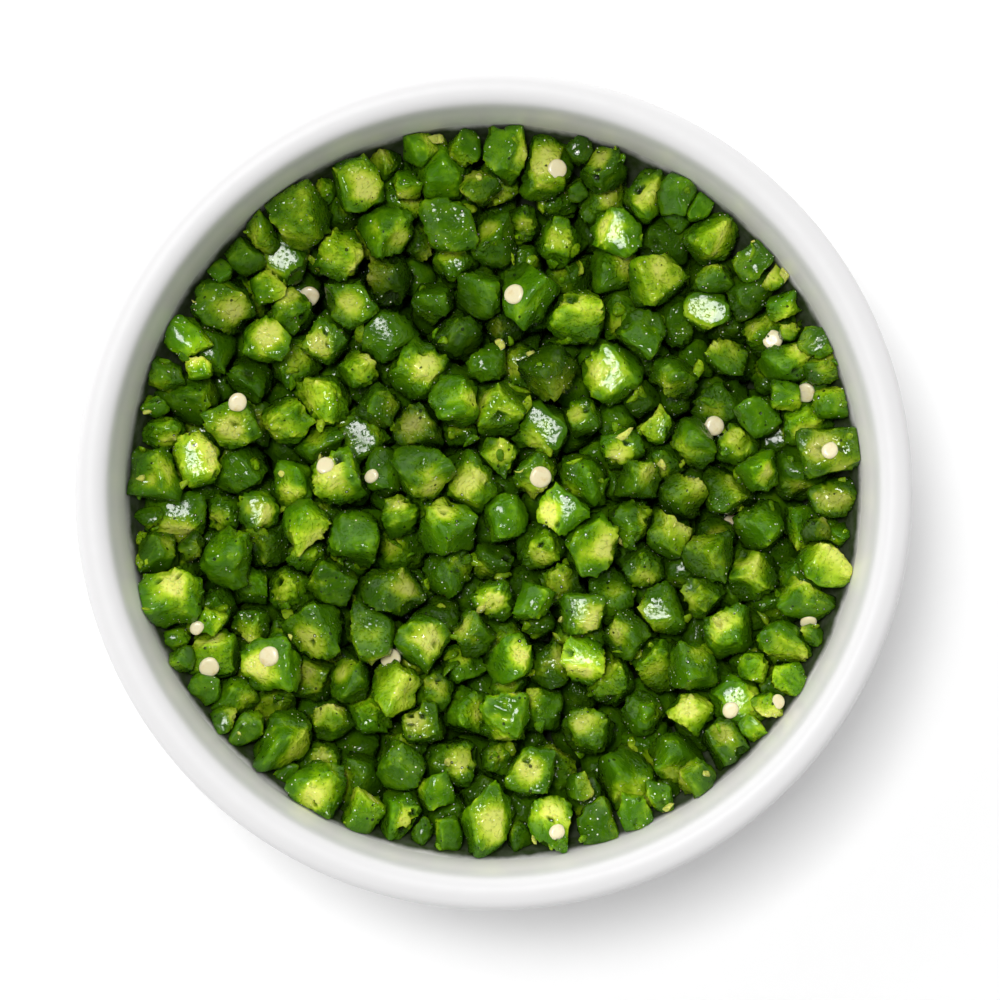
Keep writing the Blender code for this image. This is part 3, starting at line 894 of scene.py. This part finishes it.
def flesh_colour():
    """Node group: pepper from its pale core to its dark skin, mottled, with specks and glints.

    Of a cell's three random numbers, one picks the cells with a dark speck, one those with
    a bright glint, where the glints cluster, and one sets how large they are.
    """
    numbers = {"Depth": 0.5, "ToneAndPaintedShade": 0.5}
    group, start, end = node_group("flesh_colour", numbers, "Color", "NodeSocketColor")
    place = start.outputs["Place"]
    mottle = scaled(group, noise(group, place, MOTTLE_WAVES), *MOTTLE)
    flecks = scaled(group, noise(group, place, FLECK_WAVES, 1.0), *FLECKS)
    mottled = maths(group, "ADD", mottle, flecks)
    # The depth carries the dice's painted shade and painted light.
    depth = maths(group, "ADD", start.outputs["Depth"], mottled, clamp=True)
    ramp = node(group, "ShaderNodeValToRGB", {0: depth})
    ramp.color_ramp.interpolation = "B_SPLINE"
    for position, colour in FLESH_STOPS[1:-1]:
        ramp.color_ramp.elements.new(position).color = (*colour, 1.0)
    ramp.color_ramp.elements[0].color = (*CORE, 1.0)
    ramp.color_ramp.elements[-1].color = (*SKIN, 1.0)
    # The tone carries the dice's painted shade.
    bright = scaled(group, start.outputs["ToneAndPaintedShade"], 2.0)
    fibre = scaled(group, noise(group, place, FIBRE_WAVES, 1.0), *FIBRES)
    level = scaled(group, bright, fibre)
    grey = node(group, "ShaderNodeCombineColor", {0: level, 1: level, 2: level}).outputs["Color"]
    lit = blended(group, 1.0, ramp.outputs["Color"], grey, "MULTIPLY")
    links = {"Vector": place, "Scale": DOT_CELLS, "Randomness": 1.0}
    dots = node(group, "ShaderNodeTexVoronoi", links, feature="F1")
    pick = node(group, "ShaderNodeSeparateColor", {0: dots.outputs["Color"]})
    there = maths(group, "GREATER_THAN", pick.outputs[0], SPECK_FROM)
    size = scaled(group, pick.outputs[2], *SPECK_SIZES)
    near = maths(group, "LESS_THAN", dots.outputs["Distance"], size)
    speck = scaled(group, scaled(group, there, near), SPECK_SHARE)
    specked = blended(group, speck, lit, SPECK)
    clusters = band(group, noise(group, place, CLUSTER_WAVES, 1.0), *CLUSTER_BAND)
    chance = scaled(group, pick.outputs[1], clusters)
    bright_cell = maths(group, "GREATER_THAN", chance, GLINT_FROM)
    width = scaled(group, pick.outputs[2], *GLINT_SIZES)
    spot = maths(group, "LESS_THAN", dots.outputs["Distance"], width)
    glint = scaled(group, scaled(group, bright_cell, spot), GLINT_SHARE)
    group.links.new(blended(group, glint, specked, GLINT), end.inputs["Color"])
    return group


WET_SURFACE = wet_surface()
FLESH_COLOUR = flesh_colour()


def wet_pepper():
    """Cut and skinned pepper, which light goes a little way into, with juice on it."""
    finish, tree, shader = shader_of(
        "wet_pepper",
        metallic=0.0,
        ior=1.345,
        subsurface_weight=0.5,
        subsurface_radius=(0.7, 1.0, 0.15),
        subsurface_scale=0.0008,
    )
    place = node(tree, "ShaderNodeTexCoord").outputs["Object"]
    cut = node(tree, "ShaderNodeAttribute", attribute_name="cut").outputs["Color"]
    values = node(tree, "ShaderNodeSeparateColor", {0: cut})
    depth, skin, shade = values.outputs[0], values.outputs[1], values.outputs[2]
    links = {"Place": place, "Depth": depth, "ToneAndPaintedShade": shade}
    flesh = node(tree, "ShaderNodeGroup", links, node_tree=FLESH_COLOUR)
    tree.links.new(flesh.outputs["Color"], shader.inputs["Base Color"])
    rough = scaled(tree, skin, SKIN_ROUGHNESS - WET_ROUGHNESS, WET_ROUGHNESS)
    tree.links.new(rough, shader.inputs["Roughness"])
    film = scaled(tree, skin, SKIN_FILM - 1, 1.0)
    droplets = scaled(tree, skin, SKIN_DROPLETS - 1, 1.0)
    links = {"Place": place, "Cut": film, "Droplets": droplets}
    wet = node(tree, "ShaderNodeGroup", links, node_tree=WET_SURFACE)
    tree.links.new(wet.outputs["Normal"], shader.inputs["Normal"])
    return finish


def heap_pieces(finish):
    """Makes a piece of each kind of top die and one of the dice below; returns their surface."""
    groups = [
        (f"{kind}_dice", kind, np.nonzero((kind_of == number) & on_top & ~is_chip)[0], TOP_GRID)
        for number, kind in enumerate(kind_names)
    ]
    groups.append(("small_chips", "wall", np.nonzero(on_top & is_chip)[0], CHIP_GRID))
    # The dice below are all coloured as skin, the darkest kind: painted shade in the gaps.
    groups.append(("dice_below", "skin", np.nonzero(~on_top)[0], BELOW_GRID))
    points, polygons = [], []
    for group in groups:
        made, faces = dice_piece(*group, finish)
        polygons += [[len(points) + k for k in face] for face in faces]
        points += made.reshape(-1, 3).tolist()
    return BVHTree.FromPolygons(points, polygons)


heap_surface = heap_pieces(wet_pepper())

# Small crumbs and slivers that the knife left lie on the dice, in the gaps between them
# and against the wall: bits of pale core, flesh and skin.
CRUMB_COUNT = 26
EDGE_CRUMBS = 40
GAP_CRUMBS = 110
GAP_TRIES = 9
CRUMB_SIZES = (0.0003, 0.0007)
GAP_SIZES = (0.0005, 0.0011)
CRUMB_REACH = 0.92
EDGE_CRUMB_REACH = (0.92, 0.965)
CRUMB_GRID = 4
CRUMB_CUTS = 8
CRUMB_DISTANCE = (0.40, 0.80)
CRUMB_SHARPNESS = 20.0
CRUMB_LENGTHS = (1.0, 2.2)
CRUMB_THICKNESS = (0.4, 0.9)
CRUMB_LONGEST = 1.2
CRUMB_BEND = 0.25
LARGE_SHARE = 0.25
LARGE_SCALE = 1.5
PALE_SHARE = 0.3
PALE_SHARE_IN_GAPS = 0.05
CRUMB_DEPTHS = (0.45, 0.95)
CRUMB_SHADES = (0.35, 0.55)


def place_under(spot, lowest=0.0):
    """The point of the heap right under a spot, or nearest to it if that is too low, and its
    normal.
    """
    place, normal, _, _ = heap_surface.ray_cast(Vector((*spot, BOWL_HEIGHT)), Vector((0, 0, -1)))
    if place is None or place.z < lowest:
        place, normal, _, _ = heap_surface.find_nearest(Vector((*spot, FILL_LEVEL)))
    return place, normal


def crumb_piece(finish):
    """One mesh of all the crumbs, each a stretched, bent, cut ball laid on what is under it.

    A crumb in a gap takes the lowest of a few places.
    """
    count = CRUMB_COUNT + EDGE_CRUMBS + GAP_CRUMBS
    in_gap = np.arange(count) >= CRUMB_COUNT + EDGE_CRUMBS
    reach = CRUMB_REACH * np.sqrt(detail.uniform(0, 1, (count, GAP_TRIES)))
    by_wall = slice(CRUMB_COUNT, CRUMB_COUNT + EDGE_CRUMBS)
    reach[by_wall] = detail.uniform(*EDGE_CRUMB_REACH, (EDGE_CRUMBS, 1))
    turn = detail.uniform(0, 2 * math.pi, (count, GAP_TRIES))
    spots = np.stack([np.cos(turn), np.sin(turn)], 2) * (reach * INSIDE_RADIUS)[..., None]
    places = []
    for tries, lies_low in zip(spots, in_gap):
        tries = tries if lies_low else tries[:1]
        found = [place_under(spot, FILL_LEVEL - DIE_SIZE)[0] for spot in tries]
        places.append(min(found, key=lambda place: place.z))
    directions, quads = ball_grid(CRUMB_GRID)
    normals = unit(detail.normal(size=(count, CRUMB_CUTS, 3)))
    distances = detail.uniform(*CRUMB_DISTANCE, normals.shape[:2])
    reach, _ = cut_reach(directions, normals, distances, np.full(count, CRUMB_SHARPNESS))
    length = detail.uniform(*CRUMB_LENGTHS, count)
    stretch = np.stack([length, np.ones(count), detail.uniform(*CRUMB_THICKNESS, count)], 1)
    local = directions * np.minimum(reach, CRUMB_LONGEST)[..., None] * stretch[:, None]
    local[..., 2] -= detail.uniform(0, CRUMB_BEND, (count, 1)) * local[..., 0] ** 2
    size = detail.uniform(*CRUMB_SIZES, count)
    size *= np.where(detail.uniform(0, 1, count) < LARGE_SHARE, LARGE_SCALE, 1.0)
    size = np.where(in_gap, detail.uniform(*GAP_SIZES, count), size)
    points = np.einsum("nij,nvj->nvi", random_turns(detail, count), local) * size[:, None, None]
    points = pressed_inside(points + np.array(places)[:, None])
    piece = mesh_piece("crumbs", points, repeated(quads, count, len(directions)), finish)
    pale = detail.uniform(0, 1, count) < np.where(in_gap, PALE_SHARE_IN_GAPS, PALE_SHARE)
    depth = np.where(pale, 0.0, detail.uniform(*CRUMB_DEPTHS, count))
    shade = detail.uniform(*CRUMB_SHADES, count)
    values = np.repeat([depth, np.zeros(count), shade], len(directions), axis=1)
    paint(piece, *values)
    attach(piece, "root")
    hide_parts("diced_pepper")


crumb_piece(bpy.data.materials["wet_pepper"])

# Loose seeds lie on the heap where the photograph shows them: flat round discs, cream,
# a little thicker at the edge than in the middle.
SEED_DIAMETER = 0.0029
SEED_THICKNESS = 0.0009
SEED_GRID = 8
SEED_SPREAD = (0.68, 0.98)
SEED_NOTCH = 0.10
NOTCH_WIDTH = 0.5
SEED_OVALNESS = 0.03
DIMPLE_DEPTH = 0.16
DIMPLE_WIDTH = 0.55
SEED_RAISED = 0.28
SEED_SINKING = 0.9
SEED_NARROWEST = 0.5
SEED_TURNS = (-2.5, 2.5)
SEED_CREAM = (0.88, 0.79, 0.50)
SEED_SHADE = (0.76, 0.62, 0.27)
SHADE_WAVES = 900.0
SHADE_BAND = (0.50, 0.80)
COAT_WAVES = 3800.0
COAT_STRENGTH = 0.25
COAT_DEPTH = 0.0001
SEED_SPOTS = [
    (0.0061, 0.0020), (-0.0336, 0.0117), (-0.0245, 0.0261), (-0.0294, -0.0216),
    (0.0412, 0.0131), (-0.0374, -0.0230), (-0.0390, -0.0179), (-0.0135, -0.0221),
    (0.0083, 0.0424), (0.0368, 0.0201), (0.0292, 0.0088), (0.0316, -0.0040),
    (0.0440, 0.0054), (0.0372, -0.0276), (0.0312, -0.0287), (0.0083, -0.0446),
    (0.0415, -0.0171), (-0.0222, 0.0034), (-0.0161, 0.0021), (0.0028, 0.0260),
]


def seed_points(spot, directions, spin, size):
    """A disc of section |r|^3 + |z|^3 = 1, laid on the heap under the spot.

    A dimple takes a share exp(-(x / width)^2) off its thickness, and a notch off its radius.
    The smaller it is, the deeper it has sunk in and the narrower it is one way.
    """
    place, normal = place_under(spot)
    if normal.z < 0:
        normal = -normal
    axis = (normal + Vector((0, 0, 1))).normalized()
    across = axis.orthogonal().normalized()
    along = axis.cross(across)
    flat = np.hypot(directions[:, 0], directions[:, 1])
    reach = (flat**3 + np.abs(directions[:, 2]) ** 3) ** (-1 / 3)
    x, y, z = (directions * reach[:, None]).T
    radius = np.hypot(x, y)
    turn = np.arctan2(y, x)
    notch = SEED_NOTCH * np.exp(-(((turn - spin) / NOTCH_WIDTH) ** 2))
    outline = 1 - notch + SEED_OVALNESS * np.cos(2 * (turn - spin))
    outline = outline * size * SEED_DIAMETER / 2
    x, y = x * outline, y * outline * (SEED_NARROWEST + (1 - SEED_NARROWEST) * size)
    z = z * SEED_THICKNESS / 2 * (1 - DIMPLE_DEPTH * np.exp(-((radius / DIMPLE_WIDTH) ** 2)))
    seed_axes = np.array([across, along, axis])
    lift = SEED_THICKNESS * (SEED_RAISED - SEED_SINKING * (1 - size))
    return np.array(place) + np.array(axis) * lift + np.stack([x, y, z], 1) @ seed_axes


def seed_skin():
    """Dry-looking cream seed coat, browner in patches, with a wet sheen."""
    finish, tree, shader = shader_of(
        "seed_skin",
        metallic=0.0,
        subsurface_weight=0.3,
        subsurface_radius=(1.0, 0.8, 0.4),
        subsurface_scale=0.0006,
        coat_weight=0.4,
        coat_roughness=0.12,
        roughness=0.42,
    )
    place = node(tree, "ShaderNodeTexCoord").outputs["Object"]
    patches = noise(tree, place, SHADE_WAVES, detail=3.0, roughness=0.6)
    colour = blended(tree, band(tree, patches, *SHADE_BAND), SEED_CREAM, SEED_SHADE)
    tree.links.new(colour, shader.inputs["Base Color"])
    grain = raised(tree, noise(tree, place, COAT_WAVES, 2.0), COAT_STRENGTH, COAT_DEPTH)
    tree.links.new(grain, shader.inputs["Normal"])
    return finish


seed_directions, seed_quads = ball_grid(SEED_GRID)
spins = detail.uniform(*SEED_TURNS, len(SEED_SPOTS))
seed_sizes = detail.uniform(*SEED_SPREAD, len(SEED_SPOTS))
seed_sizes[0] = 1.0  # the full-sized one near the middle
seeds = np.array([
    seed_points(spot, seed_directions, spin, size)
    for spot, spin, size in zip(SEED_SPOTS, spins, seed_sizes)
])
seed_faces = repeated(seed_quads, len(seeds), len(seed_directions))
seed_piece = mesh_piece("loose_seeds", pressed_inside(seeds), seed_faces, seed_skin())
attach(seed_piece, "root")
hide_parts("diced_pepper")

# The bowl stands on a plain pale table, under one large soft light from the upper left
# and between white walls, which are brighter on that side.
TABLE_WHITE = (0.98, 0.98, 0.98)
TABLE_GLOW = 0.05
TABLE_SIZE = 3.0
LIGHT_DISTANCE = 1.6
LIGHT_SIZE = 0.40
LIGHT_TILT = math.radians(11.3)
LIGHT_TURN = math.radians(131)
LIGHT_POWER = 15.2
SKY_STRENGTH = 0.85
SKY_TURN = math.radians(128)
SKY_LEAN = 0.80
SKY_OVERHEAD = 0.06
SKY_HEIGHTS = (0.55, 0.90)


def plain_table():
    """A flat square of pale, even, matt table."""
    half = TABLE_SIZE / 2
    corners = np.array([(-half, -half, 0), (half, -half, 0), (half, half, 0), (-half, half, 0)])
    finish, _, _ = shader_of(
        "pale_table",
        base_color=(*TABLE_WHITE, 1.0),
        roughness=0.9,
        specular_ior_level=0.0,
        emission_color=(1.0, 1.0, 1.0, 1.0),
        emission_strength=TABLE_GLOW,
    )
    return mesh_piece("table", corners, [[0, 1, 2, 3]], finish)


def soft_light():
    """A square light tilted off the vertical, aimed at the middle of the heap."""
    data = bpy.data.lights.new("soft_light", "AREA")
    data.shape = "SQUARE"
    data.size = LIGHT_SIZE
    data.energy = LIGHT_POWER
    light = bpy.data.objects.new("soft_light", data)
    side = math.sin(LIGHT_TILT)
    away = Vector((side * math.cos(LIGHT_TURN), side * math.sin(LIGHT_TURN), math.cos(LIGHT_TILT)))
    light.location = Vector((0, 0, FILL_LEVEL)) + away * LIGHT_DISTANCE
    light.rotation_mode = "QUATERNION"
    light.rotation_quaternion = away.to_track_quat("Z", "Y")
    bpy.context.scene.collection.objects.link(light)


def studio_sky():
    """White walls all round, brighter on the light's side, and a dim ceiling."""
    world = bpy.data.worlds.new("studio")
    bpy.context.scene.world = world
    world.use_nodes = True
    tree = world.node_tree
    direction = node(tree, "ShaderNodeTexCoord").outputs["Generated"]
    parts = node(tree, "ShaderNodeSeparateXYZ", {0: direction})
    walls = band(tree, parts.outputs["Z"], SKY_HEIGHTS[1], SKY_HEIGHTS[0])
    east, north = SKY_LEAN * math.cos(SKY_TURN), SKY_LEAN * math.sin(SKY_TURN)
    towards = scaled(tree, parts.outputs["X"], east)
    towards = scaled(tree, parts.outputs["Y"], north, towards)
    lit = scaled(tree, walls, maths(tree, "ADD", towards, 1.0))
    level = scaled(tree, lit, SKY_STRENGTH, SKY_OVERHEAD)
    tree.links.new(level, tree.nodes["Background"].inputs["Strength"])
    tree.nodes["Background"].inputs["Color"].default_value = (1.0, 1.0, 1.0, 1.0)


plain_table()
soft_light()
studio_sky()
bpy.context.scene.view_settings.view_transform = "Standard"

# The camera looks straight down. The rim stands slightly left of and above the picture's
# middle.
CAMERA_ELEVATION = math.radians(89.5)
CAMERA_DISTANCE = 0.55
PICTURE_WIDTH = 1000
RIM_PIXELS = 840
RIM_MIDDLE_PIXELS = (493.6, 490.8)
SENSOR_WIDTH = 36.0


def camera():
    """A camera whose picture is as wide as the photograph's at the height of the rim."""
    pixel = 2 * RIM_RADIUS / RIM_PIXELS
    right = (PICTURE_WIDTH / 2 - RIM_MIDDLE_PIXELS[0]) * pixel
    ahead = (RIM_MIDDLE_PIXELS[1] - PICTURE_WIDTH / 2) * pixel / math.sin(CAMERA_ELEVATION)
    back = Vector((0, -math.cos(CAMERA_ELEVATION), math.sin(CAMERA_ELEVATION)))
    data = bpy.data.cameras.new("camera")
    data.sensor_width = SENSOR_WIDTH
    data.lens = SENSOR_WIDTH * CAMERA_DISTANCE / (PICTURE_WIDTH * pixel)
    made = bpy.data.objects.new("camera", data)
    made.location = Vector((right, ahead, BOWL_HEIGHT)) + back * CAMERA_DISTANCE
    made.rotation_mode = "QUATERNION"
    made.rotation_quaternion = back.to_track_quat("Z", "Y")
    bpy.context.scene.collection.objects.link(made)
    bpy.context.scene.camera = made


camera()
